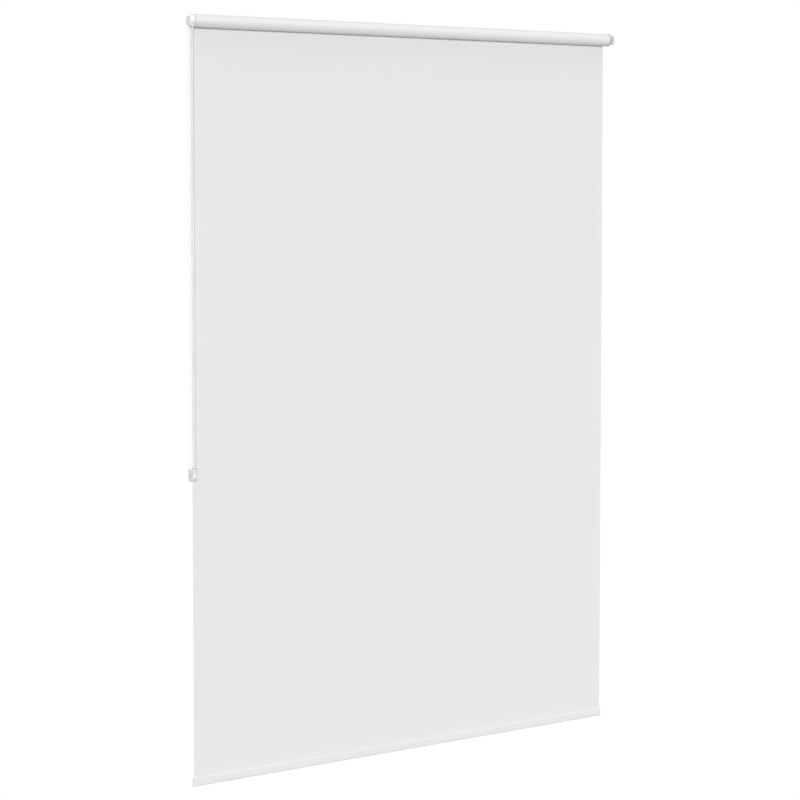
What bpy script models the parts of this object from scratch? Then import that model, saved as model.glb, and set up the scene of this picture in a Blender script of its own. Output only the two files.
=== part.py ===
"""Roller blind for the inside of a window reveal: side brackets, chain clutch, tube, fabric and hem bar.

Metres, +Z up. The roller's axis is the X axis, the middle of the blind is the origin,
the room is towards -Y and the window towards +Y.
"""

import math

import bmesh
import bpy

# Overall sizes
OVERALL_WIDTH = 1.600        # outer face to outer face of the side brackets
SIDE_GAP = 0.017             # bracket outer face to fabric edge, each side
DROP = 2.300                 # top of the roll to the bottom of the hem
CLEARANCE = 0.0003           # between pieces that touch or run on each other

# Fabric, roll and hem
FABRIC_THICKNESS = 0.00042
TURNS_LEFT = 0.0007          # thickness of the turns left on the tube with the blind down
HEM_HEIGHT = 0.028
BAR_HEIGHT = 0.022
BAR_THICKNESS = 0.0055
BAR_WALL = 0.0012
CAP_MARGIN = 0.00125         # cap beyond the bar, all round
CAP_THICKNESS = 0.0025
CAP_PLUG_LENGTH = 0.015

# Tube
TUBE_RADIUS = 0.019
TUBE_WALL = 0.0012
TUBE_BEYOND_FABRIC = 0.0015
KEY_WIDTH = 0.003
KEY_HEIGHT = 0.0018

# Bead chain and its wheels
BALL_DIAMETER = 0.0045
BALL_PITCH = 0.006
CHAIN_BALLS = 460
WHEEL_POCKETS = 14
WHEEL_WIDTH = 0.007
WHEEL_RIM_BEYOND_PITCH = 0.0003
NOTCH_WIDTH = 0.002
NOTCH_DEPTH = 0.001
JOINER_LENGTH = 0.014
JOINER_WALL = 0.001
JOINER_ABOVE_TENSIONER = 0.003

# Left bracket, guard and clutch
PLATE_THICKNESS = 0.0015
LEFT_PLATE_HALF = 0.0130
PLATE_CORNER = 0.008
KEY_HOLE_HALF = 0.005
KEY_HOLE_CORNER = 0.0006
SCREW_HOLE_RADIUS = 0.0017
SCREW_HOLE_BEYOND_KEY = 0.0022
GUARD_WALL = 0.0014
GUARD_FACE = 0.0012
GUARD_CORNER = 0.004
GUARD_CHAIN_GAP = 0.0005
GUARD_HUB_WALL = 0.001
MOUTH_BELOW_AXIS = 0.002
TAB_WIDTH = 0.008
TAB_DEPTH = 0.0045
TAB_INSET = 0.0055
TAB_ABOVE_GUARD = 0.0067
JOURNAL_BEYOND_KEY = 0.002
DRUM_BEYOND_JOURNAL = 0.0015
DRUM_FROM_WHEEL = 0.006
DRUM_LENGTH = 0.028
END_JOURNAL_RADIUS = 0.005
END_JOURNAL_LENGTH = 0.013
SPRING_WIRE = 0.0012
SPRING_TURNS = 4
SPRING_PITCH = 0.0016
SPRING_TANG = 0.0022
SLEEVE_WALL = 0.0016
SLEEVE_SLOT = 0.005
CROWN_FLANGE = 0.0011
CROWN_END_WALL = 0.004
CROWN_GROOVES = 8            # the first is the key way
CROWN_GROOVE_WIDTH = 0.006
CROWN_GROOVE_DEPTH = 0.0009
CROWN_COLLAR = 0.004
CLIP_THICKNESS = 0.001
CLIP_REACH = 0.0035
CLIP_GROOVE = 0.0009

# Right bracket and idle end
RIGHT_PLATE_HALF_DEPTH = 0.0190
RIGHT_PLATE_HALF_HEIGHT = 0.0150
BUSH_RADIUS = 0.005
BUSH_FLANGE_RADIUS = 0.007
BUSH_FLANGE = 0.0012
PIN_RADIUS = 0.003
PIN_COLLAR_RADIUS = 0.0056
PIN_COLLAR = 0.0035
PIN_TAIL_RADIUS = 0.0022
PIN_TRAVEL = 0.010
PIN_CHAMFER = 0.0006
IDLE_FLANGE_BEYOND_ROLL = 0.0006
IDLE_FLANGE = 0.0022
PLUG_LENGTH = 0.037
PLUG_FRONT_WALL = 0.007
PLUG_BACK_WALL = 0.004
IDLE_SPRING_WIRE = 0.0009
IDLE_SPRING_TURNS = 8
SPRING_SIDE_GAP = 0.0014

# Chain tensioner
TENSIONER_PLATE = 0.002
TENSIONER_RIM_INSIDE_PITCH = 0.0004
TENSIONER_EDGE_BEYOND_RIM = 0.0015
TENSIONER_BELOW_RIM = 0.0060
TENSIONER_CORNER = 0.006
TENSIONER_COVER = 0.0015
BRIDGE_THICKNESS = 0.0015
AXLE_RADIUS = 0.0025
AXLE_HEAD_RADIUS = 0.0042
AXLE_HEAD = 0.001
BOSS_RADIUS = 0.0026
BOSS_FROM_RIM = 0.003
COVER_SCREW_RADIUS = 0.0011
COVER_SCREW_HEAD_RADIUS = 0.0021
FIXING_HOLE_RADIUS = 0.0016
FIXING_HOLE_OFFSET = 0.008
FIXING_HOLE_BELOW_BOSS = 0.001

# Places worked out from the sizes
LEFT_FACE = -OVERALL_WIDTH / 2
RIGHT_FACE = OVERALL_WIDTH / 2
FABRIC_LEFT = LEFT_FACE + SIDE_GAP
FABRIC_RIGHT = RIGHT_FACE - SIDE_GAP
TUBE_LEFT = FABRIC_LEFT - TUBE_BEYOND_FABRIC
TUBE_RIGHT = FABRIC_RIGHT + TUBE_BEYOND_FABRIC
TUBE_BORE = TUBE_RADIUS - TUBE_WALL
BALL_RADIUS = BALL_DIAMETER / 2
PITCH_RADIUS = WHEEL_POCKETS * BALL_PITCH / math.tau
GROOVE_RADIUS = PITCH_RADIUS - BALL_RADIUS - CLEARANCE
WHEEL_LEFT = LEFT_FACE + PLATE_THICKNESS + CLEARANCE + GUARD_FACE + CLEARANCE
WHEEL_RIGHT = WHEEL_LEFT + WHEEL_WIDTH
CHAIN_X = (WHEEL_LEFT + WHEEL_RIGHT) / 2
TENSIONER_Z = -(CHAIN_BALLS * BALL_PITCH - math.tau * PITCH_RADIUS) / 2
ROLL_RADIUS = TUBE_RADIUS + CLEARANCE + TURNS_LEFT
HEM_BOTTOM = ROLL_RADIUS - DROP
HEM_TOP = HEM_BOTTOM + HEM_HEIGHT
SHEET_FRONT = ROLL_RADIUS + CLEARANCE
SHEET_MIDDLE = SHEET_FRONT + FABRIC_THICKNESS / 2
SCREW_HOLE_OFFSET = KEY_HOLE_HALF + SCREW_HOLE_BEYOND_KEY
JOURNAL_RADIUS = KEY_HOLE_HALF + JOURNAL_BEYOND_KEY
DRUM_RADIUS = JOURNAL_RADIUS + DRUM_BEYOND_JOURNAL
SHOULDER = LEFT_FACE + PLATE_THICKNESS + GUARD_FACE + 2 * CLEARANCE
DRUM_LEFT = WHEEL_RIGHT + DRUM_FROM_WHEEL
DRUM_RIGHT = DRUM_LEFT + DRUM_LENGTH
SPRING_RADIUS = DRUM_RADIUS + CLEARANCE + SPRING_WIRE / 2
SLEEVE_BORE = SPRING_RADIUS + SPRING_WIRE / 2 + 2 * CLEARANCE
SLEEVE_RADIUS = SLEEVE_BORE + SLEEVE_WALL
CROWN_BORE = SLEEVE_RADIUS + CLEARANCE
CROWN_RADIUS = TUBE_BORE - CLEARANCE
CROWN_LEFT = TUBE_LEFT - CLEARANCE - CROWN_FLANGE
CROWN_WALL_LEFT = DRUM_RIGHT + CLEARANCE
CROWN_RIGHT = CROWN_WALL_LEFT + CROWN_END_WALL
CLIP_LEFT = CROWN_RIGHT + CLEARANCE
CORE_RIGHT = DRUM_RIGHT + END_JOURNAL_LENGTH
IDLE_FLANGE_LEFT = TUBE_RIGHT + CLEARANCE
IDLE_FLANGE_RIGHT = IDLE_FLANGE_LEFT + IDLE_FLANGE
IDLE_FLANGE_RADIUS = ROLL_RADIUS + IDLE_FLANGE_BEYOND_ROLL
PLUG_LEFT = IDLE_FLANGE_LEFT - PLUG_LENGTH
CHAMBER_RIGHT = IDLE_FLANGE_RIGHT - PLUG_FRONT_WALL
CHAMBER_LEFT = PLUG_LEFT + PLUG_BACK_WALL
COLLAR_RIGHT = CHAMBER_RIGHT - CLEARANCE
COLLAR_LEFT = COLLAR_RIGHT - PIN_COLLAR
GUARD_BORE = PITCH_RADIUS + BALL_RADIUS + GUARD_CHAIN_GAP
GUARD_RADIUS = GUARD_BORE + GUARD_WALL
TAB_TOP = GUARD_RADIUS + TAB_ABOVE_GUARD
TENSIONER_GROOVE = GROOVE_RADIUS
TENSIONER_RIM_RADIUS = PITCH_RADIUS - TENSIONER_RIM_INSIDE_PITCH
TENSIONER_HALF_DEPTH = TENSIONER_RIM_RADIUS + TENSIONER_EDGE_BEYOND_RIM
TENSIONER_HALF_HEIGHT = TENSIONER_RIM_RADIUS + TENSIONER_BELOW_RIM
BOSS_HEIGHT_ABOVE_WHEEL = TENSIONER_RIM_RADIUS + BOSS_FROM_RIM

CUT_PAST = 0.001             # how far a cutter runs beyond what it cuts
DEEP_PAST = 0.002            # the same where the surface is rounded
ROUND_STEPS = 64
SMALL_STEPS = 32             # for pieces under about 15 mm across


def fresh_collection(name):
    found = bpy.data.collections.new(name)
    bpy.context.scene.collection.children.link(found)
    return found


for old in list(bpy.data.objects):
    bpy.data.objects.remove(old, do_unlink=True)

BLIND = fresh_collection("roller_blind")
CUTTERS = fresh_collection("cutters")


def finish_of(name, colour, roughness, metallic=0.0):
    """A plain Principled material."""
    made = bpy.data.materials.new(name)
    made.use_nodes = True
    shader = made.node_tree.nodes["Principled BSDF"]
    shader.inputs["Base Color"].default_value = (*colour, 1.0)
    shader.inputs["Roughness"].default_value = roughness
    shader.inputs["Metallic"].default_value = metallic
    return made


def blind_fabric(name):
    return finish_of(name, (0.80, 0.80, 0.80), 0.9)


def white_plastic(name):
    return finish_of(name, (0.84, 0.84, 0.83), 0.4)


def pale_plastic(name):
    return finish_of(name, (0.82, 0.82, 0.81), 0.45)


def grey_plastic(name):
    return finish_of(name, (0.40, 0.40, 0.40), 0.5)


def white_paint(name):
    return finish_of(name, (0.86, 0.86, 0.85), 0.35)


def aluminium(name):
    return finish_of(name, (0.66, 0.67, 0.68), 0.35, 1.0)


def steel(name):
    return finish_of(name, (0.56, 0.56, 0.55), 0.3, 1.0)


def keep(piece, make_material):
    """Put a finished piece in the blind's collection with its own material."""
    for home in list(piece.users_collection):
        home.objects.unlink(piece)
    BLIND.objects.link(piece)
    piece.data.materials.clear()
    piece.data.materials.append(make_material(piece.name))
    return piece


def add(name, data):
    made = bpy.data.objects.new(name, data)
    BLIND.objects.link(made)
    return made


def turned(name, profile, centre_z=0.0, on_axis=False, steps=ROUND_STEPS):
    """A piece turned about a line along X, from (radius, x) points round its section."""
    area = sum(a[0] * b[1] - b[0] * a[1] for a, b in zip(profile, profile[1:] + profile[:1]))
    points = profile if area < 0 else profile[::-1]
    if on_axis and points[0][0] > 0:
        start = next(i for i, p in enumerate(points) if p[0] == 0 and points[i - 1][0] == 0)
        points = points[start:] + points[:start]
    mesh = bpy.data.meshes.new(name)
    last = len(points)
    edges = [(i, (i + 1) % last) for i in range(last - 1 if on_axis else last)]
    mesh.from_pydata([(r, 0, x) for r, x in points], edges, [])
    piece = add(name, mesh)
    piece.rotation_euler = (0, math.pi / 2, 0)
    piece.location = (0, 0, centre_z)
    turn = piece.modifiers.new("turn", "SCREW")
    turn.steps = turn.render_steps = steps
    turn.use_merge_vertices = True
    turn.merge_threshold = 0.00001
    turn.use_smooth_shade = True
    return piece


def ring(name, inner, outer, left, right):
    return turned(name, [(inner, left), (outer, left), (outer, right), (inner, right)])


def rod(name, radius, left, right, centre_z=0.0):
    section = [(0, right), (radius, right), (radius, left), (0, left)]
    return turned(name, section, centre_z, on_axis=True, steps=SMALL_STEPS)


def arc(centre, radius, start, end, steps):
    """Points on an arc, angles in degrees, both ends included."""
    angles = [math.radians(start + (end - start) * i / steps) for i in range(steps + 1)]
    return [(centre[0] + radius * math.cos(a), centre[1] + radius * math.sin(a)) for a in angles]


def circle(centre, radius, steps=24):
    return arc(centre, radius, 0, 360, steps)[:-1]


def rounded_box(half_y, half_z, corner, steps=6):
    """A rounded rectangle in the YZ plane."""
    y, z = half_y - corner, half_z - corner
    return (
        arc((y, z), corner, 0, 90, steps)
        + arc((-y, z), corner, 90, 180, steps)
        + arc((-y, -z), corner, 180, 270, steps)
        + arc((y, -z), corner, 270, 360, steps)
    )


def capsule(half_y, half_z, steps=12):
    """A tall outline with round ends."""
    z = half_z - half_y
    return arc((0, z), half_y, 0, 180, steps) + arc((0, -z), half_y, 180, 360, steps)


def extruded(name, outlines, left, right, centre=(0.0, 0.0)):
    """A flat outline in YZ, holes included, drawn out along X."""
    curve = bpy.data.curves.new(name, "CURVE")
    curve.dimensions = "2D"
    curve.fill_mode = "BOTH"
    curve.extrude = (right - left) / 2
    for outline in outlines:
        spline = curve.splines.new("POLY")
        spline.points.add(len(outline) - 1)
        spline.use_cyclic_u = True
        for point, (y, z) in zip(spline.points, outline):
            point.co = (y, z, 0, 1)
    piece = add(name, curve)
    piece.rotation_euler = (math.pi / 2, 0, math.pi / 2)
    piece.location = ((left + right) / 2, *centre)
    return piece


def as_mesh(piece):
    """The same shape as a welded mesh, in place, so that it can be cut or joined."""
    name = piece.name
    bpy.context.view_layer.update()
    graph = bpy.context.evaluated_depsgraph_get()
    mesh = bpy.data.meshes.new_from_object(piece.evaluated_get(graph))
    work = bmesh.new()
    work.from_mesh(mesh)
    bmesh.ops.remove_doubles(work, verts=work.verts, dist=0.000001)
    work.to_mesh(mesh)
    work.free()
    place = piece.matrix_world.copy()
    bpy.data.objects.remove(piece, do_unlink=True)
    made = add(name, mesh)
    made.matrix_world = place
    return made


def box(name, low, high):
    mesh = bpy.data.meshes.new(name)
    work = bmesh.new()
    bmesh.ops.create_cube(work, size=1)
    bmesh.ops.scale(work, vec=[b - a for a, b in zip(low, high)], verts=work.verts)
    work.to_mesh(mesh)
    work.free()
    piece = add(name, mesh)
    piece.location = [(a + b) / 2 for a, b in zip(low, high)]
    return piece


def wire(name, points, diameter, closed=False, sides=2):
    curve = bpy.data.curves.new(name, "CURVE")
    curve.dimensions = "3D"
    curve.bevel_depth = diameter / 2
    curve.bevel_resolution = sides
    curve.use_fill_caps = True
    spline = curve.splines.new("POLY")
    spline.points.add(len(points) - 1)
    spline.use_cyclic_u = closed
    for point, place in zip(spline.points, points):
        point.co = (*place, 1)
    return add(name, curve)


def work_on(piece, tool, operation):
    """Cut or join a piece with a tool, which is then only a helper."""
    step = piece.modifiers.new(tool.name, "BOOLEAN")
    step.operation = operation
    step.object = tool
    step.solver = "EXACT"
    for home in list(tool.users_collection):
        home.objects.unlink(tool)
    CUTTERS.objects.link(tool)
    tool.hide_render = True
    tool.display_type = "WIRE"


def cut(piece, *tools):
    for tool in tools:
        work_on(piece, tool, "DIFFERENCE")
    return piece


def join(piece, *tools):
    for tool in tools:
        work_on(piece, tool, "UNION")
    return piece


def screw_holes(offset):
    return [circle((y, z), SCREW_HOLE_RADIUS, 16) for y in (-offset, offset) for z in (-offset, offset)]


def left_bracket():
    """Flat plate with a square hole for the clutch and four small fixing holes."""
    outline = rounded_box(LEFT_PLATE_HALF, LEFT_PLATE_HALF, PLATE_CORNER)
    key_hole = rounded_box(KEY_HOLE_HALF, KEY_HOLE_HALF, KEY_HOLE_CORNER, 2)
    holes = [key_hole] + screw_holes(SCREW_HOLE_OFFSET)
    keep(extruded("left_bracket", [outline] + holes, LEFT_FACE, LEFT_FACE + PLATE_THICKNESS), white_paint)


def chain_guard():
    """Cup round the chain wheel, open below where the two strands leave, with a tab on top."""
    face_left = LEFT_FACE + PLATE_THICKNESS + CLEARANCE
    face_right = face_left + GUARD_FACE
    lip = CROWN_LEFT - CLEARANCE
    inner_corner = GUARD_CORNER - GUARD_WALL
    outside = arc((GUARD_RADIUS - GUARD_CORNER, face_left + GUARD_CORNER), GUARD_CORNER, -90, 0, 6)
    inside = arc((GUARD_BORE - inner_corner, face_right + inner_corner), inner_corner, 0, -90, 4)
    hub = JOURNAL_RADIUS + GUARD_HUB_WALL
    section = [(hub, face_left), *outside, (GUARD_RADIUS, lip), (GUARD_BORE, lip), *inside, (hub, face_right)]
    guard = turned("chain_guard", section)
    seat = KEY_HOLE_HALF
    web = as_mesh(extruded(
        "guard_web",
        [circle((0, 0), hub + CUT_PAST, 32), rounded_box(seat, seat, KEY_HOLE_CORNER, 2)],
        face_left, face_right,
    ))
    tab = box(
        "guard_tab",
        (face_left + TAB_INSET, -TAB_WIDTH / 2, GUARD_BORE + GUARD_WALL / 2),
        (face_left + TAB_INSET + TAB_DEPTH, TAB_WIDTH / 2, TAB_TOP),
    )
    join(guard, web, tab)
    mouth_inside = PITCH_RADIUS - BALL_RADIUS - GUARD_CHAIN_GAP
    for side, name in ((-1, "front"), (1, "rear")):
        low, high = sorted((side * mouth_inside, side * (GUARD_RADIUS + DEEP_PAST)))
        mouth = box(
            f"{name}_mouth",
            (face_right, low, -GUARD_RADIUS - DEEP_PAST),
            (lip + DEEP_PAST, high, -MOUTH_BELOW_AXIS),
        )
        cut(guard, mouth)
    keep(guard, white_plastic)


def clutch_core():
    """The fixed spigot: square nose in the bracket, wheel journal, brake drum and end journal."""
    groove = CLIP_LEFT - CLEARANCE
    section = [
        (0, CORE_RIGHT),
        (END_JOURNAL_RADIUS, CORE_RIGHT),
        (END_JOURNAL_RADIUS, groove + CLIP_THICKNESS + 2 * CLEARANCE),
        (END_JOURNAL_RADIUS - CLIP_GROOVE, groove + CLIP_THICKNESS + 2 * CLEARANCE),
        (END_JOURNAL_RADIUS - CLIP_GROOVE, groove),
        (END_JOURNAL_RADIUS, groove),
        (END_JOURNAL_RADIUS, DRUM_RIGHT),
        (DRUM_RADIUS, DRUM_RIGHT),
        (DRUM_RADIUS, DRUM_LEFT),
        (JOURNAL_RADIUS, DRUM_LEFT),
        (JOURNAL_RADIUS, SHOULDER),
        (0, SHOULDER),
    ]
    core = turned("clutch_core", section, on_axis=True)
    half = KEY_HOLE_HALF - CLEARANCE
    nose = box("core_nose", (LEFT_FACE + CLEARANCE, -half, -half), (SHOULDER + CUT_PAST, half, half))
    keep(join(core, nose), white_plastic)


def chain_wheel():
    """Grooved wheel with notches between its ball pockets, and the sleeve that frees the brake."""
    rim = PITCH_RADIUS + WHEEL_RIM_BEYOND_PITCH
    side = (WHEEL_WIDTH - BALL_DIAMETER) / 2 - CLEARANCE
    bore = JOURNAL_RADIUS + CLEARANCE
    step = DRUM_LEFT - CLEARANCE
    sleeve_end = DRUM_RIGHT - 2 * CLEARANCE
    section = [
        (bore, WHEEL_LEFT),
        (rim, WHEEL_LEFT),
        (rim, WHEEL_LEFT + side),
        (GROOVE_RADIUS, WHEEL_LEFT + side),
        (GROOVE_RADIUS, WHEEL_RIGHT - side),
        (rim, WHEEL_RIGHT - side),
        (rim, WHEEL_RIGHT),
        (SLEEVE_RADIUS, WHEEL_RIGHT),
        (SLEEVE_RADIUS, sleeve_end),
        (SLEEVE_BORE, sleeve_end),
        (SLEEVE_BORE, step),
        (bore, step),
    ]
    wheel = turned("chain_wheel", section)
    for i in range(WHEEL_POCKETS):
        notch = box(
            f"wheel_notch_{i}",
            (WHEEL_LEFT - CUT_PAST, -NOTCH_WIDTH / 2, rim - NOTCH_DEPTH),
            (WHEEL_RIGHT + CUT_PAST, NOTCH_WIDTH / 2, rim + DEEP_PAST),
        )
        turn_about_axis(notch, (i + 0.5) * math.tau / WHEEL_POCKETS)
        cut(wheel, notch)
    slot = box(
        "tang_slot",
        (DRUM_LEFT + CUT_PAST, -SLEEVE_SLOT / 2, 0),
        (DRUM_RIGHT + CUT_PAST, SLEEVE_SLOT / 2, SLEEVE_RADIUS + CUT_PAST),
    )
    keep(cut(wheel, slot), white_plastic)


def helix(radius, start, length, turns, per_turn=16):
    """Points along a coil about the roller's axis, starting and ending at the top."""
    points = []
    for k in range(turns * per_turn + 1):
        angle = math.tau * k / per_turn
        x = start + length * k / (turns * per_turn)
        points.append((x, radius * math.sin(angle), radius * math.cos(angle)))
    return points


def turn_about_axis(piece, angle):
    """Swing a piece about the roller's axis."""
    x, y, z = piece.location
    piece.location = (x, y * math.cos(angle) - z * math.sin(angle), y * math.sin(angle) + z * math.cos(angle))
    piece.rotation_euler = (angle, 0, 0)


def brake_springs():
    """Two wrap springs on the drum, with their tangs standing in the sleeve's slot."""
    length = SPRING_TURNS * SPRING_PITCH + SPRING_WIRE
    room = DRUM_LENGTH - 2 * length
    for i in range(2):
        start = DRUM_LEFT + room / 3 + i * (length + room / 3) + SPRING_WIRE / 2
        coil = helix(SPRING_RADIUS, start, SPRING_TURNS * SPRING_PITCH, SPRING_TURNS)
        tang = (coil[-1][0], 0, SPRING_RADIUS + SPRING_TANG)
        keep(wire(f"brake_spring_{i + 1}", coil + [tang], SPRING_WIRE), steel)


def crown_adapter():
    """Ribbed plug that the brake turns, keyed to the inside of the tube."""
    end_bore = END_JOURNAL_RADIUS + CLEARANCE
    flange_right = CROWN_LEFT + CROWN_FLANGE
    section = [
        (CROWN_BORE, CROWN_LEFT),
        (TUBE_RADIUS, CROWN_LEFT),
        (TUBE_RADIUS, flange_right),
        (CROWN_RADIUS, flange_right),
        (CROWN_RADIUS, CROWN_RIGHT),
        (end_bore, CROWN_RIGHT),
        (end_bore, CROWN_WALL_LEFT),
        (CROWN_BORE, CROWN_WALL_LEFT),
    ]
    crown = turned("crown_adapter", section)
    past = CROWN_RIGHT + CUT_PAST
    for i in range(1, CROWN_GROOVES):
        groove = box(
            f"crown_groove_{i}",
            (flange_right + CROWN_COLLAR, -CROWN_GROOVE_WIDTH / 2, CROWN_RADIUS - CROWN_GROOVE_DEPTH),
            (past, CROWN_GROOVE_WIDTH / 2, TUBE_RADIUS),
        )
        turn_about_axis(groove, i * math.tau / CROWN_GROOVES)
        cut(crown, groove)
    keep(cut(crown, key_way("crown_key_way", flange_right, past)), white_plastic)


def key_way(name, left, right):
    """Cutter for the slot that slides over the tube's key rib."""
    half = KEY_WIDTH / 2 + CLEARANCE
    return box(name, (left, -half, TUBE_BORE - KEY_HEIGHT - CLEARANCE), (right, half, TUBE_RADIUS))


def retaining_clip():
    """Open spring clip in the core's groove."""
    inner = END_JOURNAL_RADIUS - CLIP_GROOVE + CLEARANCE
    outer = END_JOURNAL_RADIUS + CLIP_REACH
    outline = arc((0, 0), outer, -60, 240, 30) + arc((0, 0), inner, 240, -60, 24)
    keep(extruded("retaining_clip", [outline], CLIP_LEFT, CLIP_LEFT + CLIP_THICKNESS), steel)


def tube():
    """Aluminium tube with one key rib along its bore."""
    half = math.degrees(math.asin(KEY_WIDTH / 2 / TUBE_BORE))
    rib = TUBE_BORE - KEY_HEIGHT
    bore = arc((0, 0), TUBE_BORE, 90 + half, 450 - half, 60)
    bore += [(KEY_WIDTH / 2, rib), (-KEY_WIDTH / 2, rib)]
    keep(extruded("tube", [circle((0, 0), TUBE_RADIUS, ROUND_STEPS), bore], TUBE_LEFT, TUBE_RIGHT), aluminium)


def fabric_roll():
    """The turns that stay on the tube with the blind down."""
    inner = TUBE_RADIUS + CLEARANCE
    keep(ring("fabric_roll", inner, ROLL_RADIUS, FABRIC_LEFT, FABRIC_RIGHT), blind_fabric)


def fabric_sheet():
    """The hanging fabric, from the back of the roll to the hem."""
    low = (FABRIC_LEFT, SHEET_FRONT, HEM_TOP + CLEARANCE)
    high = (FABRIC_RIGHT, SHEET_FRONT + FABRIC_THICKNESS, 0)
    keep(box("fabric_sheet", low, high), blind_fabric)


def hem():
    """Hem pocket, the flat bar in it and an end cap at each side."""
    middle = HEM_BOTTOM + FABRIC_THICKNESS + CLEARANCE + BAR_HEIGHT / 2
    centre = (SHEET_MIDDLE, middle)
    inner_y = BAR_THICKNESS / 2 + CLEARANCE
    inner_z = BAR_HEIGHT / 2 + CLEARANCE
    outer_y = inner_y + FABRIC_THICKNESS
    outer_z = inner_z + FABRIC_THICKNESS
    seam = FABRIC_THICKNESS
    meet = math.degrees(math.acos(seam / outer_y))
    shoulder = outer_z - outer_y
    outline = [(-seam, HEM_TOP - middle), (seam, HEM_TOP - middle)]
    outline += arc((0, shoulder), outer_y, meet, 0, 8)
    outline += arc((0, -shoulder), outer_y, 0, -180, 16)
    outline += arc((0, shoulder), outer_y, 180, 180 - meet, 8)
    pocket = [outline, capsule(inner_y, inner_z)]
    keep(extruded("hem_pocket", pocket, FABRIC_LEFT, FABRIC_RIGHT, centre), blind_fabric)

    bar_outer = capsule(BAR_THICKNESS / 2, BAR_HEIGHT / 2)
    bar_inner = capsule(BAR_THICKNESS / 2 - BAR_WALL, BAR_HEIGHT / 2 - BAR_WALL)
    keep(extruded("bottom_bar", [bar_outer, bar_inner], FABRIC_LEFT, FABRIC_RIGHT, centre), aluminium)

    head = capsule(BAR_THICKNESS / 2 + CAP_MARGIN, BAR_HEIGHT / 2 + CAP_MARGIN)
    plug_y = BAR_THICKNESS / 2 - BAR_WALL - CLEARANCE
    plug_z = BAR_HEIGHT / 2 - BAR_WALL - CLEARANCE
    for name, edge, side in (("left", FABRIC_LEFT, -1), ("right", FABRIC_RIGHT, 1)):
        inner = edge + side * CLEARANCE
        left, right = sorted((inner, inner + side * CAP_THICKNESS))
        cap = as_mesh(extruded(f"bar_cap_{name}", [head], left, right, centre))
        left, right = sorted((inner + side * CAP_THICKNESS / 2, edge - side * CAP_PLUG_LENGTH))
        plug = as_mesh(extruded(f"cap_plug_{name}", [capsule(plug_y, plug_z)], left, right, centre))
        keep(join(cap, plug), white_plastic)


def chain_route():
    """Up the front strand, over the drive wheel, down the rear strand and round the tensioner."""
    points = []
    straight = 24
    for i in range(straight):
        points.append((-PITCH_RADIUS, TENSIONER_Z * (1 - i / straight)))
    points += arc((0, 0), PITCH_RADIUS, 180, 0, 14)[:-1]
    for i in range(straight):
        points.append((PITCH_RADIUS, TENSIONER_Z * i / straight))
    points += arc((0, TENSIONER_Z), PITCH_RADIUS, 0, -180, 14)[:-1]
    return [(CHAIN_X, y, z) for y, z in points]


def chain():
    """The bead chain's outer form as a closed loop, and the joiner that sleeves two balls."""
    keep(wire("bead_chain", chain_route(), BALL_DIAMETER, closed=True), white_plastic)
    bore = BALL_RADIUS + CLEARANCE
    low = TENSIONER_Z + TENSIONER_HALF_HEIGHT + JOINER_ABOVE_TENSIONER
    section = [(bore, 0), (bore + JOINER_WALL, 0), (bore + JOINER_WALL, JOINER_LENGTH), (bore, JOINER_LENGTH)]
    joiner = turned("chain_joiner", section, steps=SMALL_STEPS)
    joiner.rotation_euler = (0, 0, 0)
    joiner.location = (CHAIN_X, PITCH_RADIUS, low)
    keep(joiner, white_plastic)


def idle_end():
    """Plug in the tube's right end with a sprung pin that seats in the right bracket's bush."""
    flange_left = IDLE_FLANGE_LEFT
    pin_bore = PIN_RADIUS + CLEARANCE
    chamber = PIN_COLLAR_RADIUS + CLEARANCE
    tail_bore = PIN_TAIL_RADIUS + CLEARANCE
    section = [
        (pin_bore, IDLE_FLANGE_RIGHT),
        (IDLE_FLANGE_RADIUS, IDLE_FLANGE_RIGHT),
        (IDLE_FLANGE_RADIUS, flange_left),
        (CROWN_RADIUS, flange_left),
        (CROWN_RADIUS, PLUG_LEFT),
        (tail_bore, PLUG_LEFT),
        (tail_bore, CHAMBER_LEFT),
        (chamber, CHAMBER_LEFT),
        (chamber, CHAMBER_RIGHT),
        (pin_bore, CHAMBER_RIGHT),
    ]
    plug = turned("idle_plug", section)
    keep(cut(plug, key_way("plug_key_way", PLUG_LEFT - CUT_PAST, flange_left)), grey_plastic)

    tip = RIGHT_FACE - CLEARANCE
    tail = CHAMBER_LEFT + CLEARANCE
    section = [
        (0, tip),
        (PIN_RADIUS - PIN_CHAMFER, tip),
        (PIN_RADIUS, tip - PIN_CHAMFER),
        (PIN_RADIUS, COLLAR_RIGHT),
        (PIN_COLLAR_RADIUS, COLLAR_RIGHT),
        (PIN_COLLAR_RADIUS, COLLAR_LEFT),
        (PIN_TAIL_RADIUS, COLLAR_LEFT),
        (PIN_TAIL_RADIUS, tail),
        (0, tail),
    ]
    keep(turned("idle_pin", section, on_axis=True, steps=SMALL_STEPS), steel)

    radius = PIN_TAIL_RADIUS + SPRING_SIDE_GAP + IDLE_SPRING_WIRE / 2
    start = CHAMBER_LEFT + CLEARANCE + IDLE_SPRING_WIRE / 2
    end = COLLAR_LEFT - CLEARANCE - IDLE_SPRING_WIRE / 2
    coil = helix(radius, start, end - start, IDLE_SPRING_TURNS, 10)
    keep(wire("idle_spring", coil, IDLE_SPRING_WIRE), steel)


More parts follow.
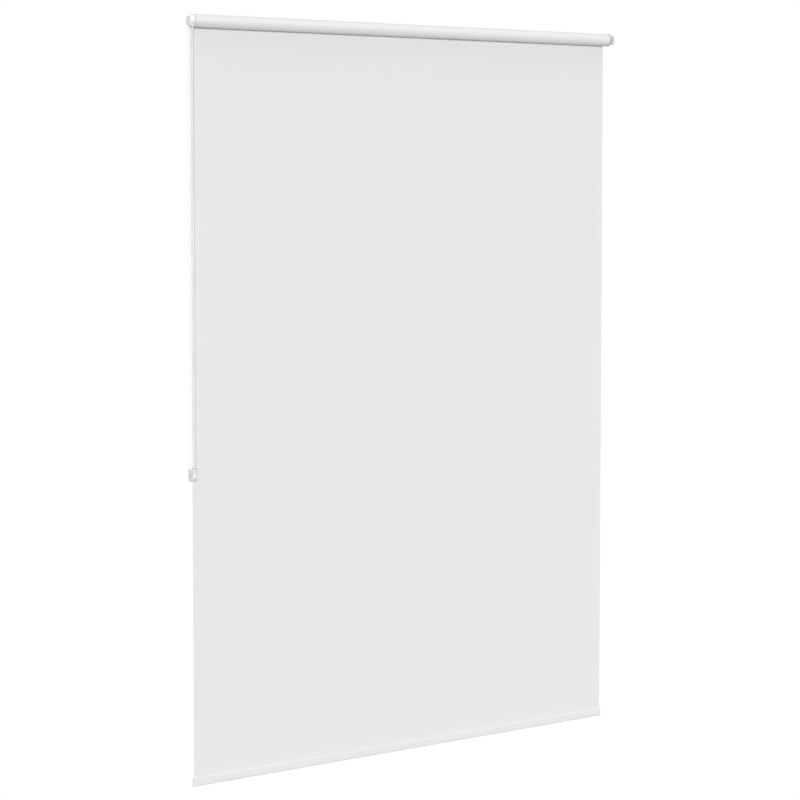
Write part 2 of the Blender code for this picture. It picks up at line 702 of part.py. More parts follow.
def right_bracket():
    """Flat plate with a flanged bush for the idle pin."""
    outline = rounded_box(RIGHT_PLATE_HALF_DEPTH, RIGHT_PLATE_HALF_HEIGHT, PLATE_CORNER)
    holes = [circle((0, 0), BUSH_RADIUS + CLEARANCE, 32)] + screw_holes(SCREW_HOLE_OFFSET)
    inner = RIGHT_FACE - PLATE_THICKNESS
    keep(extruded("right_bracket", [outline] + holes, inner, RIGHT_FACE), white_paint)
    flange_right = inner - CLEARANCE
    bore = PIN_RADIUS + CLEARANCE
    section = [
        (bore, RIGHT_FACE - CLEARANCE),
        (BUSH_RADIUS, RIGHT_FACE - CLEARANCE),
        (BUSH_RADIUS, flange_right),
        (BUSH_FLANGE_RADIUS, flange_right),
        (BUSH_FLANGE_RADIUS, flange_right - BUSH_FLANGE),
        (bore, flange_right - BUSH_FLANGE),
    ]
    keep(turned("idle_bush", section, steps=SMALL_STEPS), white_plastic)


def tensioner():
    """Pulley block that holds the bottom of the chain loop to the reveal."""
    centre = (0.0, TENSIONER_Z)
    plate_right = LEFT_FACE + TENSIONER_PLATE
    cover_left = WHEEL_RIGHT + CLEARANCE
    cover_right = cover_left + TENSIONER_COVER
    outline = rounded_box(TENSIONER_HALF_DEPTH, TENSIONER_HALF_HEIGHT, TENSIONER_CORNER)
    boss = (0.0, BOSS_HEIGHT_ABOVE_WHEEL)
    axle_hole = circle((0, 0), AXLE_RADIUS + CLEARANCE)
    fixing = [circle((y, BOSS_HEIGHT_ABOVE_WHEEL - FIXING_HOLE_BELOW_BOSS), FIXING_HOLE_RADIUS, 16)
              for y in (-FIXING_HOLE_OFFSET, FIXING_HOLE_OFFSET)]
    body = as_mesh(extruded("tensioner_body", [outline, axle_hole] + fixing, LEFT_FACE, plate_right, centre))
    post = as_mesh(extruded(
        "tensioner_post",
        [circle(boss, BOSS_RADIUS)],
        plate_right - TENSIONER_PLATE / 2, cover_left - CLEARANCE, centre,
    ))
    foot_top = TENSIONER_Z - TENSIONER_HALF_HEIGHT + BRIDGE_THICKNESS
    half = TENSIONER_HALF_DEPTH - TENSIONER_CORNER
    bridge = box(
        "tensioner_bridge",
        (plate_right - TENSIONER_PLATE / 2, -half, TENSIONER_Z - TENSIONER_HALF_HEIGHT),
        (cover_left - CLEARANCE, half, foot_top),
    )
    screw_bore = rod(
        "post_bore", COVER_SCREW_RADIUS + CLEARANCE, plate_right, cover_left + CUT_PAST,
        TENSIONER_Z + BOSS_HEIGHT_ABOVE_WHEEL,
    )
    keep(cut(join(body, post, bridge), screw_bore), pale_plastic)

    screw_hole = circle(boss, COVER_SCREW_RADIUS + CLEARANCE)
    keep(extruded("tensioner_cover", [outline, axle_hole, screw_hole], cover_left, cover_right, centre), pale_plastic)

    wheel_left = plate_right + CLEARANCE
    side = (WHEEL_RIGHT - wheel_left - BALL_DIAMETER) / 2 - CLEARANCE
    bore = AXLE_RADIUS + CLEARANCE
    groove_left = CHAIN_X - BALL_RADIUS - CLEARANCE
    groove_right = CHAIN_X + BALL_RADIUS + CLEARANCE
    section = [
        (bore, wheel_left),
        (TENSIONER_RIM_RADIUS, wheel_left),
        (TENSIONER_RIM_RADIUS, groove_left),
        (TENSIONER_GROOVE, groove_left),
        (TENSIONER_GROOVE, groove_right),
        (TENSIONER_RIM_RADIUS, groove_right),
        (TENSIONER_RIM_RADIUS, WHEEL_RIGHT),
        (bore, WHEEL_RIGHT),
    ]
    keep(turned("tensioner_wheel", section, TENSIONER_Z), white_plastic)

    head_left = cover_right + CLEARANCE
    section = [
        (0, head_left + AXLE_HEAD),
        (AXLE_HEAD_RADIUS, head_left + AXLE_HEAD),
        (AXLE_HEAD_RADIUS, head_left),
        (AXLE_RADIUS, head_left),
        (AXLE_RADIUS, LEFT_FACE + CLEARANCE),
        (0, LEFT_FACE + CLEARANCE),
    ]
    keep(turned("tensioner_axle", section, TENSIONER_Z, on_axis=True, steps=SMALL_STEPS), steel)

    section = [
        (0, head_left + AXLE_HEAD),
        (COVER_SCREW_HEAD_RADIUS, head_left + AXLE_HEAD),
        (COVER_SCREW_HEAD_RADIUS, head_left),
        (COVER_SCREW_RADIUS, head_left),
        (COVER_SCREW_RADIUS, plate_right + CLEARANCE),
        (0, plate_right + CLEARANCE),
    ]
    screw_z = TENSIONER_Z + BOSS_HEIGHT_ABOVE_WHEEL
    keep(turned("cover_screw", section, screw_z, on_axis=True, steps=SMALL_STEPS), steel)


left_bracket()
chain_guard()
clutch_core()
chain_wheel()
brake_springs()
crown_adapter()
retaining_clip()
tube()
fabric_roll()
fabric_sheet()
hem()
chain()
idle_end()
right_bracket()
tensioner()
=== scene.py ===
# Looks for a chain operated roller blind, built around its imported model.
import math

import bmesh
import bpy
from mathutils import Matrix, Vector


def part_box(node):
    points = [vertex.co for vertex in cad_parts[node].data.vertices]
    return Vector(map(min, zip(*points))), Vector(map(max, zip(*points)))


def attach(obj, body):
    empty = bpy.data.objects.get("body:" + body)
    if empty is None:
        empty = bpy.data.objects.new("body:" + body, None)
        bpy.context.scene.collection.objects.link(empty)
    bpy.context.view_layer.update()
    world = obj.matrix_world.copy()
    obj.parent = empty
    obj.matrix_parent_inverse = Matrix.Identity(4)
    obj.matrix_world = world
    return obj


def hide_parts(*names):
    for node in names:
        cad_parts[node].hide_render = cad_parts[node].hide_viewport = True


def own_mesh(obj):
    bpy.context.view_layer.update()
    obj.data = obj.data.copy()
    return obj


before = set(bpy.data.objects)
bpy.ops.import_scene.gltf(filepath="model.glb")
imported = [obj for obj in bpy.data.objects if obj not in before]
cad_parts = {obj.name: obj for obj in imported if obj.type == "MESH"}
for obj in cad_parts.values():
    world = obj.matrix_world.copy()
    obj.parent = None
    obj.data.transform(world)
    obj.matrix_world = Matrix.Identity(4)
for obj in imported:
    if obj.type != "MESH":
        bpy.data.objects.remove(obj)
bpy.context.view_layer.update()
print("frame loaded")

mm = 0.001
turn = 2 * math.pi


def addNode(tree, kind, inputs=None, **settings):
    node = tree.nodes.new(kind)
    for name, value in settings.items():
        setattr(node, name, value)
    for socket, value in (inputs or {}).items():
        if isinstance(value, bpy.types.NodeSocket):
            tree.links.new(value, node.inputs[socket])
        else:
            node.inputs[socket].default_value = value
    return node


def calc(tree, operation, a, b=0.0):
    # one step of arithmetic on a texture
    return addNode(tree, "ShaderNodeMath", {0: a, 1: b}, operation=operation).outputs[0]


def wave(tree, value, length):
    # a row of half round threads, one to each length
    phase = calc(tree, "MULTIPLY", value, math.pi / length)
    return calc(tree, "ABSOLUTE", calc(tree, "SINE", phase))


def spread(tree, value, low, high, fromLow=0.3, fromHigh=0.7):
    # noise mostly lies between 0.3 and 0.7, which becomes low to high
    inputs = {"Value": value, "From Min": fromLow, "From Max": fromHigh, "To Min": low, "To Max": high}
    return addNode(tree, "ShaderNodeMapRange", inputs).outputs[0]


def noise(tree, place, scale, detail=3.0, stretch=(1, 1, 1)):
    if stretch != (1, 1, 1):
        place = addNode(tree, "ShaderNodeMapping", {"Vector": place, "Scale": stretch}).outputs[0]
    node = addNode(tree, "ShaderNodeTexNoise", {"Vector": place, "Scale": scale, "Detail": detail})
    return node.outputs["Fac"]


def tint(tree, factor, first, second):
    # 6 and 7 are the mix node's two colour sockets
    mix = tree.nodes.new("ShaderNodeMix")
    mix.data_type = "RGBA"
    tree.links.new(factor, mix.inputs[0])
    mix.inputs[6].default_value = (*first, 1)
    mix.inputs[7].default_value = (*second, 1)
    return mix.outputs[2]


def newMaterial(name, sockets):
    material = bpy.data.materials.new(name)
    material.use_nodes = True
    shader = material.node_tree.nodes["Principled BSDF"]
    for socket, value in sockets.items():
        shader.inputs[socket].default_value = value
    return material, material.node_tree, shader


def feed(tree, shader, colour, roughness, height, depth, strength=1.0, edge=0.0):
    # colour and roughness go straight in, the height field goes in as a bump of real depth in metres
    tree.links.new(colour, shader.inputs["Base Color"])
    tree.links.new(roughness, shader.inputs["Roughness"])
    bump = addNode(tree, "ShaderNodeBump", {"Height": height, "Distance": depth, "Strength": strength})
    if edge:
        # a moulded or coated edge is never quite sharp
        soft = addNode(tree, "ShaderNodeBevel", {"Radius": edge}, samples=4)
        tree.links.new(soft.outputs[0], bump.inputs["Normal"])
    tree.links.new(bump.outputs[0], shader.inputs["Normal"])


def grey(value, warmth=0.0):
    # a grey with a little more red and less blue for warmth
    return (value * (1 + warmth), value, value * (1 - warmth))


def mouldedPlastic(name, tone, gloss=0.42, warmth=0.01, glow=0.04):
    # glow is how much light soaks through the plastic
    sockets = {
        "Specular IOR Level": 0.5,
        "Subsurface Weight": glow,
        "Subsurface Radius": (1, 1, 1),
        "Subsurface Scale": 1.5 * mm,
    }
    material, tree, shader = newMaterial(name, sockets)
    place = addNode(tree, "ShaderNodeTexCoord").outputs["Object"]
    # faint clouds in the tone, a fine grain from the mould, and flow lines in the gloss
    cloud = noise(tree, place, 90)
    grain = noise(tree, place, 2600, 2)
    flow = noise(tree, place, 260, 4, (1, 1, 0.3))
    colour = tint(tree, cloud, grey(tone * 0.97, warmth), grey(tone * 1.02, warmth))
    rough = spread(tree, flow, gloss - 0.06, gloss + 0.08)
    feed(tree, shader, colour, rough, grain, 0.03 * mm, edge=0.3 * mm)
    return material


def powderCoat(name, tone):
    material, tree, shader = newMaterial(name, {"Specular IOR Level": 0.5, "Coat Weight": 0.15})
    place = addNode(tree, "ShaderNodeTexCoord").outputs["Object"]
    # the paint's orange peel
    peel = noise(tree, place, 900, 2)
    cloud = noise(tree, place, 60)
    colour = tint(tree, cloud, grey(tone * 0.98, 0.004), grey(tone * 1.01, 0.004))
    feed(tree, shader, colour, spread(tree, peel, 0.3, 0.42), peel, 0.05 * mm, edge=0.25 * mm)
    return material


def drawnMetal(name, tone, rough, along):
    # long fine draw lines run along the given stretch
    material, tree, shader = newMaterial(name, {"Metallic": 1.0})
    place = addNode(tree, "ShaderNodeTexCoord").outputs["Object"]
    lines = noise(tree, place, 1800, 3, along)
    patina = noise(tree, place, 45)
    colour = tint(tree, patina, grey(tone * 0.93), grey(tone * 1.04))
    feed(tree, shader, colour, spread(tree, lines, rough - 0.08, rough + 0.1), lines, 0.02 * mm)
    return material


def wovenCloth(name, cloth, rolled):
    sockets = {"Specular IOR Level": 0.25, "Sheen Weight": 0.12, "Sheen Roughness": 0.5}
    material, tree, shader = newMaterial(name, sockets)
    place = addNode(tree, "ShaderNodeTexCoord").outputs["Object"]
    axes = addNode(tree, "ShaderNodeSeparateXYZ", {0: place}).outputs
    across = axes["X"]
    along = axes["Z"]
    if rolled:
        # on the roll the length of the cloth runs round the tube
        along = calc(tree, "MULTIPLY", calc(tree, "ARCTAN2", axes["Z"], axes["Y"]), cloth["rollRadius"])
    flat = addNode(tree, "ShaderNodeCombineXYZ", {0: across, 1: along, 2: 0.0}).outputs[0]
    warp = wave(tree, across, cloth["yarn"])
    weft = wave(tree, along, cloth["yarn"])
    warpUp = calc(tree, "MULTIPLY", warp, calc(tree, "POWER", weft, cloth["roundness"]))
    weftUp = calc(tree, "MULTIPLY", weft, calc(tree, "POWER", warp, cloth["roundness"]))
    cells = addNode(tree, "ShaderNodeTexChecker", {"Vector": flat, "Scale": 1 / cloth["yarn"]})
    weave = addNode(tree, "ShaderNodeMix", {0: cells.outputs["Fac"], 2: warpUp, 3: weftUp}).outputs[0]
    slubs = noise(tree, flat, cloth["slubScale"], 3, (1, cloth["slubStretch"], 1))
    picks = noise(tree, flat, cloth["slubScale"], 3, (cloth["slubStretch"], 1, 1))
    yarns = calc(tree, "MULTIPLY", calc(tree, "ADD", slubs, picks), 0.5)
    tone = cloth["tone"]
    # painted shade: the colour darkens where the weave is low, in the gaps between the yarns; the slubs
    # add the yarns' own random tone
    gapShade = calc(tree, "MULTIPLY", weave, cloth["paintedGapShade"])
    fromYarns = calc(tree, "MULTIPLY", yarns, cloth["slubTone"])
    shade = calc(tree, "ADD", gapShade, fromYarns)
    colour = tint(tree, shade, grey(tone * 0.965, cloth["warmth"]), grey(tone * 1.02, cloth["warmth"]))
    feed(tree, shader, colour, spread(tree, yarns, 0.78, 0.9), weave, cloth["relief"], 0.6)
    return material


cloth = {
    "thickness": 0.42 * mm,
    "yarn": 0.45 * mm,
    "relief": 0.06 * mm,
    "roundness": 0.4,  # lower numbers make flatter yarns
    "slubScale": 700,
    "slubStretch": 0.03,
    # weight of the painted shade in the gaps between the yarns
    "paintedGapShade": 0.35,
    # weight of the slubs' own random tone
    "slubTone": 0.65,
    "tone": 0.77,
    "warmth": 0.0,
    "rollRadius": 20.5 * mm,  # turns an angle on the roll into a length of cloth
}
clothHanging = wovenCloth("hanging cloth", cloth, rolled=False)
clothRolled = wovenCloth("rolled cloth", cloth, rolled=True)
whitePlastic = mouldedPlastic("white moulded plastic", 0.86)
chainPlastic = mouldedPlastic("chain bead plastic", 0.93, gloss=0.3, glow=0.2)
palePlastic = mouldedPlastic("pale moulded plastic", 0.84, gloss=0.48, warmth=0.0)
greyPlastic = mouldedPlastic("grey moulded plastic", 0.4, gloss=0.5, warmth=0.0)
whitePaint = powderCoat("white powder coat", 0.86)
aluminium = drawnMetal("drawn aluminium", 0.72, 0.36, along=(0.01, 1, 1))
zincSteel = drawnMetal("zinc plated steel", 0.62, 0.3, along=(0.15, 1, 1))

finishOf = {
    "fabric": clothHanging,
    "white_plastic": whitePlastic,
    "chain": chainPlastic,
    "pale_plastic": palePlastic,
    "grey_plastic": greyPlastic,
    "white_paint": whitePaint,
    "aluminium": aluminium,
    "steel": zincSteel,
}
print("finishes made")


def newPiece(name, points, faces, material, smoothTo=35):
    mesh = bpy.data.meshes.new(name)
    mesh.from_pydata([tuple(p) for p in points], [], faces)
    bm = bmesh.new()
    bm.from_mesh(mesh)
    bmesh.ops.recalc_face_normals(bm, faces=bm.faces)
    bm.to_mesh(mesh)
    bm.free()
    mesh.materials.append(material)
    mesh.shade_smooth()
    mesh.set_sharp_from_angle(angle=math.radians(smoothTo))
    piece = bpy.data.objects.new(name, mesh)
    bpy.context.collection.objects.link(piece)
    return piece


def loft(rings, closedAlong=False, caps=False):
    # rings of equally many points become one skin of quads
    points = [p for ring in rings for p in ring]
    count = len(rings[0])
    faces = []
    for i in range(len(rings) if closedAlong else len(rings) - 1):
        j = (i + 1) % len(rings)
        for a in range(count):
            b = (a + 1) % count
            faces.append((i * count + a, i * count + b, j * count + b, j * count + a))
    if caps:
        faces.append(tuple(range(count)))
        faces.append(tuple((len(rings) - 1) * count + a for a in range(count)))
    return points, faces


def joined(parts):
    points, faces = [], []
    for morePoints, moreFaces in parts:
        start = len(points)
        points += morePoints
        faces += [tuple(start + i for i in face) for face in moreFaces]
    return points, faces


def setOn(piece, body, slotName, *nodes):
    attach(piece, body)
    if nodes:
        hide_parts(*nodes)


def middle(node, axis):
    low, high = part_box(node)
    return (low[axis] + high[axis]) / 2


chain = {
    "pockets": 14,
    "pitch": 6 * mm,
    "bead": 4.5 * mm,
    "line": 1.3 * mm,  # the thread between the beads
    "lineSides": 8,
    "beadSides": 12,
    "beadRings": 8,
    "poleAngle": 17,  # degrees left off each end of a bead, where the thread goes in
    "lookAhead": 0.2 * mm,
}
chainX = middle("bead_chain", 0)
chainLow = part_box("bead_chain")[0]
wheelRadius = chain["pockets"] * chain["pitch"] / turn
lowAxis = chainLow.z + wheelRadius + chain["bead"] / 2
joinerLow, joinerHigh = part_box("chain_joiner")
chainLength = -2 * lowAxis + turn * wheelRadius  # two strands and half a turn on each wheel


def routePoint(distance):
    # over the top wheel from its window side, down on the room side, round the low wheel and up again
    halfTurn = math.pi * wheelRadius
    d = distance % chainLength
    if d < halfTurn:
        angle = d / wheelRadius
        return Vector((chainX, wheelRadius * math.cos(angle), wheelRadius * math.sin(angle)))
    d -= halfTurn
    if d < -lowAxis:
        return Vector((chainX, -wheelRadius, -d))
    d += lowAxis
    if d < halfTurn:
        angle = math.pi + d / wheelRadius
        return Vector((chainX, wheelRadius * math.cos(angle), lowAxis + wheelRadius * math.sin(angle)))
    return Vector((chainX, wheelRadius, lowAxis + d - halfTurn))


def frameAt(distance):
    # a place on the route, the way ahead, and the two directions across it
    centre = routePoint(distance)
    reach = chain["lookAhead"]
    ahead = (routePoint(distance + reach) - routePoint(distance - reach)).normalized()
    side = Vector((1, 0, 0))
    return centre, ahead, side, ahead.cross(side)


def ringAt(distance, shift, radius, sides):
    centre, ahead, side, up = frameAt(distance)
    centre = centre + ahead * shift
    ring = []
    for k in range(sides):
        angle = turn * k / sides
        ring.append(centre + side * (radius * math.cos(angle)) + up * (radius * math.sin(angle)))
    return ring


def beadAt(distance):
    # a ball with its two poles cut flat
    radius = chain["bead"] / 2
    start = math.radians(chain["poleAngle"])
    rings = []
    for i in range(chain["beadRings"] + 1):
        angle = start + (math.pi - 2 * start) * i / chain["beadRings"]
        shift = -radius * math.cos(angle)
        rings.append(ringAt(distance, shift, radius * math.sin(angle), chain["beadSides"]))
    return loft(rings, caps=True)


def makeBeadChain():
    # the loop starts at the joiner's upper end and comes back to its lower end
    start = joinerHigh.z
    end = chainLength + joinerLow.z
    steps = round((end - start) / (chain["pitch"] / 2))
    stations = [start + (end - start) * i / steps for i in range(steps + 1)]
    parts = [loft([ringAt(s, 0, chain["line"] / 2, chain["lineSides"]) for s in stations], caps=True)]
    beads = round(chainLength / chain["pitch"])
    for i in range(beads):
        s = (i + 0.5) * chain["pitch"]
        if s < end or s - chainLength > start:
            parts.append(beadAt(s))
    points, faces = joined(parts)
    piece = newPiece("BeadChain", points, faces, chainPlastic, smoothTo=50)
    setOn(piece, "mount", "chain", "bead_chain")
    path = [routePoint(s) for s in stations]


makeBeadChain()
print("bead chain made")


# a half round pocket for each bead and a gutter for the thread between them
wheel = {
    "pocketClearance": 0.15 * mm,
    "stepsPerPocket": 12,
    "acrossSteps": 18,
    "edgeRound": 0.5 * mm,
    "sleeve": 12.2 * mm,  # outer radius of the drive sleeve beside the rim
    "sleeveWall": 1.6 * mm,
    "sleeveFillet": 0.4 * mm,
    "bore": 7.3 * mm,
    "webBeyondRim": 6 * mm,
}


def makeChainWheel():
    low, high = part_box("chain_wheel")
    rim = high.z
    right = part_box("tensioner_wheel")[1].x
    middleX = (low.x + right) / 2
    sleeve = wheel["sleeve"]
    inside = sleeve - wheel["sleeveWall"]
    fillet = wheel["sleeveFillet"]
    web = right + wheel["webBeyondRim"]
    pocket = chain["bead"] / 2 + wheel["pocketClearance"]
    stations = chain["pockets"] * wheel["stepsPerPocket"]

    def rimRadius(x, angle):
        # the pockets are counted from the one that points straight up
        fromEdge = min(x - low.x, right - x)
        corner = wheel["edgeRound"]
        drop = corner - math.sqrt(max(corner**2 - max(corner - fromEdge, 0) ** 2, 0))
        radius = rim - drop
        nearest = round(angle * chain["pockets"] / turn - 0.25 * chain["pockets"])
        offset = angle - (nearest / chain["pockets"] + 0.25) * turn
        across = math.hypot(x - middleX, wheelRadius * math.sin(offset))
        if across < pocket:
            radius = min(radius, wheelRadius * math.cos(offset) - math.sqrt(pocket**2 - across**2))
        gutter = abs(x - middleX)
        if gutter < chain["line"]:
            radius = min(radius, wheelRadius - math.sqrt(chain["line"] ** 2 - gutter**2))
        return radius

    rings = []
    steps = wheel["acrossSteps"]
    profile = [(low.x + (right - low.x) * i / steps, None) for i in range(steps + 1)]
    profile += [(right, sleeve + fillet), (right + fillet, sleeve), (high.x, sleeve), (high.x, inside)]
    profile += [(web, inside), (web, wheel["bore"]), (low.x, wheel["bore"])]
    for k in range(stations):
        angle = turn * k / stations
        ring = []
        for x, radius in profile:
            r = rimRadius(x, angle) if radius is None else radius
            ring.append((x, r * math.cos(angle), r * math.sin(angle)))
        rings.append(ring)
    points, faces = loft(rings, closedAlong=True)
    piece = newPiece("ChainWheel", points, faces, whitePlastic, smoothTo=40)
    setOn(piece, "drive_wheel", "white_plastic", "chain_wheel")


makeChainWheel()
print("chain wheel made")


spring = {
    "wire": 0.9 * mm,
    "turns": 8,
    "closedTurns": 1,  # at each end
    "closedPitch": 1.04,  # wires from one closed turn to the next
    "perTurn": 28,
    "wireSides": 8,
}


def makeIdleSpring():
    # pushes the idle pin into the right bracket, and shortens when the pin is pulled back
    low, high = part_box("idle_spring")
    wire = spring["wire"] / 2
    coil = (high.z - low.z) / 2 - wire
    length = high.x - low.x - 2 * wire
    closed = spring["closedTurns"]
    working = spring["turns"] - 2 * closed
    closedPitch = spring["wire"] * spring["closedPitch"]
    openPitch = (length - 2 * closed * closedPitch) / working
    rings = []
    for i in range(spring["turns"] * spring["perTurn"] + 1):
        turns = i / spring["perTurn"]
        inWorking = min(max(turns - closed, 0), working)
        x = low.x + wire + (turns - inWorking) * closedPitch + inWorking * openPitch
        angle = turn * turns
        outward = Vector((0, math.cos(angle), math.sin(angle)))
        centre = Vector((x, 0, 0)) + outward * coil
        ring = []
        for k in range(spring["wireSides"]):
            around = turn * k / spring["wireSides"]
            along = Vector((wire * math.sin(around), 0, 0))
            ring.append(centre + outward * (wire * math.cos(around)) + along)
        rings.append(ring)
    points, faces = loft(rings, caps=True)
    piece = newPiece("IdleSpring", points, faces, zincSteel, smoothTo=60)
    setOn(piece, "roller", "steel", "idle_spring")
    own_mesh(piece)


makeIdleSpring()
print("idle spring made")


sheet = {
    "columns": 120,
    "rows": 150,
    "curl": 0.5 * mm,  # the two long edges lean towards the room by this much
    "curlWidth": 30 * mm,
    "ripple": 0.12 * mm,
    "rippleWidth": 410 * mm,
    "rippleHeight": 2.3,  # ripples are this many times as high as wide
    "rippleShift": 0.8,
    "hemGap": 0.3 * mm,  # between the cloth and the top of the hem
}
sheetLow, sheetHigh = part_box("fabric_sheet")
sheetY = middle("fabric_sheet", 1)


def clothOffset(x, z):
    # the edges curl a hair, and the cloth is flat again at the roll and at the hem
    depth = (z - sheetHigh.z) / (sheetLow.z - sheetHigh.z)
    hold = math.sin(math.pi * min(max(depth, 0), 1)) ** 0.5
    fromEdge = min(x - sheetLow.x, sheetHigh.x - x)
    edge = math.exp(-fromEdge / sheet["curlWidth"])
    width = sheet["rippleWidth"]
    across = math.sin(turn * x / width + sheet["rippleShift"])
    ripple = across * math.sin(turn * z / (sheet["rippleHeight"] * width))
    return hold * (sheet["ripple"] * ripple - sheet["curl"] * edge)


def makeHangingCloth():
    half = cloth["thickness"] / 2
    rings = []
    for row in range(sheet["rows"] + 1):
        z = sheetHigh.z + (sheetLow.z - sheetHigh.z) * row / sheet["rows"]
        front, back = [], []
        for column in range(sheet["columns"] + 1):
            x = sheetLow.x + (sheetHigh.x - sheetLow.x) * column / sheet["columns"]
            y = sheetY + clothOffset(x, z)
            front.append((x, y - half, z))
            back.append((x, y + half, z))
        rings.append(front + back[::-1])
    points, faces = loft(rings, caps=True)
    piece = newPiece("HangingCloth", points, faces, clothHanging, smoothTo=40)
    setOn(piece, "mount", "fabric", "fabric_sheet")
    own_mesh(piece)
    return piece


hangingCloth = makeHangingCloth()
print("hanging cloth made")


roll = {
    "turns": 2.6,
    "perTurn": 96,
    "pitch": 1.03,  # cloth thicknesses from one turn to the next
    "leavingGap": 0.44 * mm,  # the outer turn starts this far out and settles on the one below
    "settle": 0.25,
}


def makeWoundCloth():
    # a real spiral: its outer end lies flush with the top of the hanging cloth
    low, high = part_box("fabric_roll")
    outer = sheetY + cloth["thickness"] / 2
    steps = round(roll["turns"] * roll["perTurn"])
    section = []
    for i in range(steps + 1):
        angle = turn * i / roll["perTurn"]
        settled = roll["leavingGap"] * (1 - math.exp(-angle / roll["settle"]))
        section.append((angle, outer - settled - cloth["thickness"] * roll["pitch"] * angle / turn))
    rings = []
    for angle, radius in section:
        ring = []
        for r in (radius, radius - cloth["thickness"]):
            for x in (low.x, high.x) if r == radius else (high.x, low.x):
                ring.append((x, r * math.cos(angle), r * math.sin(angle)))
        rings.append(ring)
    points, faces = loft(rings, caps=True)
    piece = newPiece("WoundCloth", points, faces, clothRolled, smoothTo=40)
    setOn(piece, "roller", "fabric", "fabric_roll")


makeWoundCloth()
print("wound cloth made")


hem = {
    "neck": 5.5 * mm,  # from the weld down to the full width round the bar
    "neckSteps": 12,
    "sideSteps": 8,
    "bottomSteps": 8,
    "weldDepth": 0.06 * mm,
    "weldHeight": 2.2 * mm,
    "slack": 0.12 * mm,
    "slackAlong": 31,
    "slackAround": 0.02,
    "slit": 0.02 * mm,  # half the gap left between the two layers at the weld
    "columns": 60,
}


def hemSection():
    # half width and height of one side of the sleeve, from the weld to the middle of the bottom
    low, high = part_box("hem_pocket")
    half = (high.y - low.y) / 2
    top = high.z
    bottom = low.z + half
    side = []
    for i in range(hem["neckSteps"] + 1):
        z = top - hem["neck"] * i / hem["neckSteps"]
        t = min(max((top - z - hem["weldHeight"]) / (hem["neck"] - hem["weldHeight"]), 0), 1)
        width = cloth["thickness"] + (half - cloth["thickness"]) * t * t * (3 - 2 * t)
        if 0 < top - z < hem["weldHeight"]:
            width -= hem["weldDepth"]
        side.append((width, z))
    for i in range(1, hem["sideSteps"] + 1):
        side.append((half, top - hem["neck"] + (bottom - top + hem["neck"]) * i / hem["sideSteps"]))
    for i in range(1, hem["bottomSteps"] + 1):
        angle = 0.5 * math.pi * i / hem["bottomSteps"]
        side.append((half * math.cos(angle), bottom - half * math.sin(angle)))
    return side


def makeHemSleeve():
    low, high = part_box("hem_pocket")
    centre = middle("hem_pocket", 1)
    side = hemSection()
    outline = [(centre - w, z) for w, z in side] + [(centre + w, z) for w, z in side[-2::-1]]
    thick = cloth["thickness"]
    rings = []
    for column in range(hem["columns"] + 1):
        x = low.x + (high.x - low.x) * column / hem["columns"]
        outside, inside = [], []
        for i, (y, z) in enumerate(outline):
            a = Vector(outline[max(i - 1, 0)])
            b = Vector(outline[min(i + 1, len(outline) - 1)])
            normal = Vector((-(b - a).y, (b - a).x)).normalized()
            sway = math.sin(hem["slackAlong"] * x + hem["slackAround"] * i)
            slack = hem["slack"] * sway * math.sin(math.pi * i / (len(outline) - 1))
            outside.append((x, y + normal.x * slack, z))
            innerY = y + normal.x * thick
            innerZ = min(z + normal.y * thick, high.z)
            slit = hem["slit"]
            innerY = min(innerY, centre - slit) if y < centre else max(innerY, centre + slit)
            inside.append((x, innerY, innerZ))
        rings.append(outside + inside[::-1])
    points, faces = loft(rings)
    count = len(rings[0])
    last = len(outline)
    # close the two ends between the outer and the inner skin
    for end in (0, hem["columns"]):
        for i in range(last - 1):
            corners = (i, i + 1, count - 2 - i, count - 1 - i)
            faces.append(tuple(end * count + c for c in corners))
    piece = newPiece("HemSleeve", points, faces, clothHanging, smoothTo=40)
    setOn(piece, "hem", "fabric", "hem_pocket")
    return piece


hemSleeve = makeHemSleeve()
print("hem sleeve made")


def finishNodes():
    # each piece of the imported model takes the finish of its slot
    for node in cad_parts.values():
        for place in node.material_slots:
            slotName = place.material.name.split(".")[0]
            place.link = "OBJECT"
            place.material = finishOf[slotName]


finishNodes()
print("finishes set on the packed pieces")


stage = {
    "height": -3.2,
    "radius": 9.2,
    "sides": 96,
    "centre": (-3.93, -5.68),
    "tone": 0.93,
    "speckle": 0.02,
}


def makeFloor():
    material, tree, shader = newMaterial("pale floor", {"Specular IOR Level": 0.2})
    place = addNode(tree, "ShaderNodeTexCoord").outputs["Object"]
    speckle = noise(tree, place, 120, 3)
    dark, pale = stage["tone"] - stage["speckle"], stage["tone"] + stage["speckle"]
    colour = tint(tree, speckle, grey(dark), grey(pale))
    feed(tree, shader, colour, spread(tree, speckle, 0.7, 0.85), speckle, 0.2 * mm)
    rim = []
    for k in range(stage["sides"]):
        angle = turn * k / stage["sides"]
        x = stage["centre"][0] + stage["radius"] * math.cos(angle)
        y = stage["centre"][1] + stage["radius"] * math.sin(angle)
        rim.append((x, y, stage["height"]))
    floor = newPiece("floor", rim, [tuple(range(len(rim)))], material)
    floor.visible_diffuse = False  # the floor throws no light back up under the roll


makeFloor()


# name: strength, angle across in degrees, and the direction it comes from
suns = {
    "soft front light": (2.62, 7, (-0.5, -0.86, 0.03)),
    "soft back light": (1.8, 40, (0.4, 0.9, 0.25)),
    "soft side light": (0.45, 60, (-1.0, -0.05, 0.05)),
    "soft top light": (0.9, 60, (0.1, -0.15, 1.0)),
}
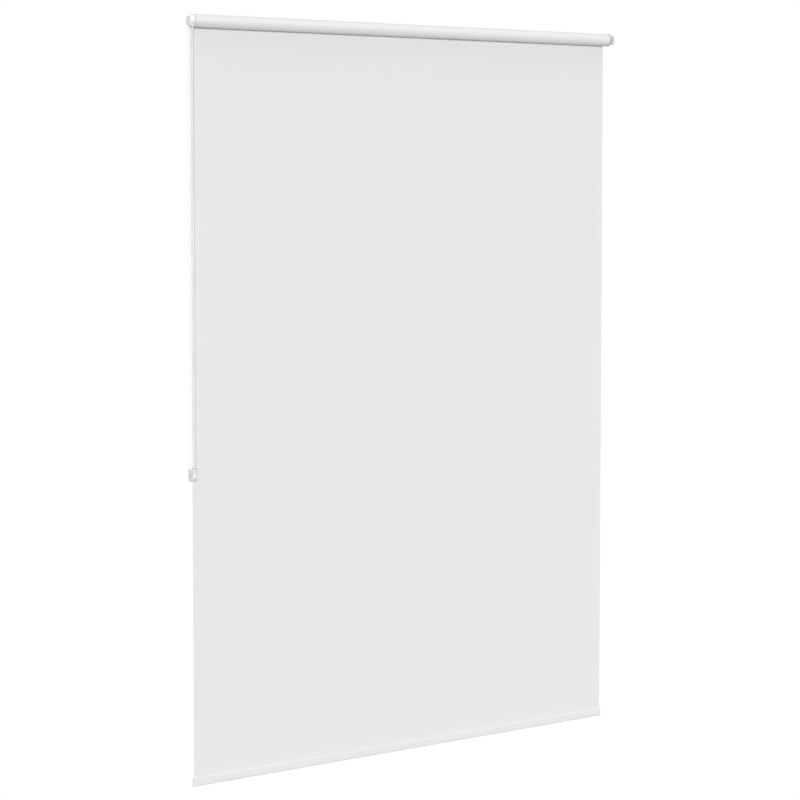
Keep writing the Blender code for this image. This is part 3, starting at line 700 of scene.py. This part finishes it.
# the room's own light is low from below and stronger from above
room = {"top": 0.36, "bottom": 0.12, "from": -0.5, "to": 0.2}


def addSun(name, strength, angle, fromSide):
    lamp = bpy.data.lights.new(name, "SUN")
    lamp.energy = strength
    lamp.angle = math.radians(angle)
    sun = bpy.data.objects.new(name, lamp)
    sun.rotation_euler = Vector(fromSide).to_track_quat("Z", "Y").to_euler()
    bpy.context.collection.objects.link(sun)


def makeLight():
    for name, (strength, angle, fromSide) in suns.items():
        addSun(name, strength, angle, fromSide)
    world = bpy.data.worlds.new("white room")
    bpy.context.scene.world = world
    world.use_nodes = True
    tree = world.node_tree
    background = tree.nodes["Background"]
    background.inputs["Color"].default_value = (1, 1, 1, 1)
    seen = addNode(tree, "ShaderNodeBackground", {"Color": (1, 1, 1, 1), "Strength": 1.0})
    place = addNode(tree, "ShaderNodeTexCoord").outputs["Generated"]
    height = addNode(tree, "ShaderNodeSeparateXYZ", {0: place}).outputs["Z"]
    level = spread(tree, height, room["bottom"], room["top"], room["from"], room["to"])
    tree.links.new(level, background.inputs["Strength"])
    ray = addNode(tree, "ShaderNodeLightPath").outputs["Is Camera Ray"]
    both = addNode(tree, "ShaderNodeMixShader", {0: ray, 1: background.outputs[0], 2: seen.outputs[0]})
    tree.links.new(both.outputs[0], tree.nodes["World Output"].inputs[0])
    bpy.context.scene.view_settings.view_transform = "Standard"


makeLight()


camera = {
    "place": (-3.9347, -5.6849, -0.4740),
    "yaw": 34.346,
    "pitch": -3.567,
    "lens": 98.89,
    "sensor": 36,
    "shiftY": -0.10,
}


def makeCamera():
    data = bpy.data.cameras.new("camera")
    data.lens = camera["lens"]
    data.sensor_width = camera["sensor"]
    data.shift_y = camera["shiftY"]
    view = bpy.data.objects.new("camera", data)
    view.location = camera["place"]
    turned = Matrix.Rotation(math.radians(-camera["yaw"]), 4, "Z")
    tilted = Matrix.Rotation(math.radians(90 + camera["pitch"]), 4, "X")
    view.rotation_euler = (turned @ tilted).to_euler()
    bpy.context.collection.objects.link(view)
    bpy.context.scene.camera = view


makeCamera()
print("stage, light and camera set")
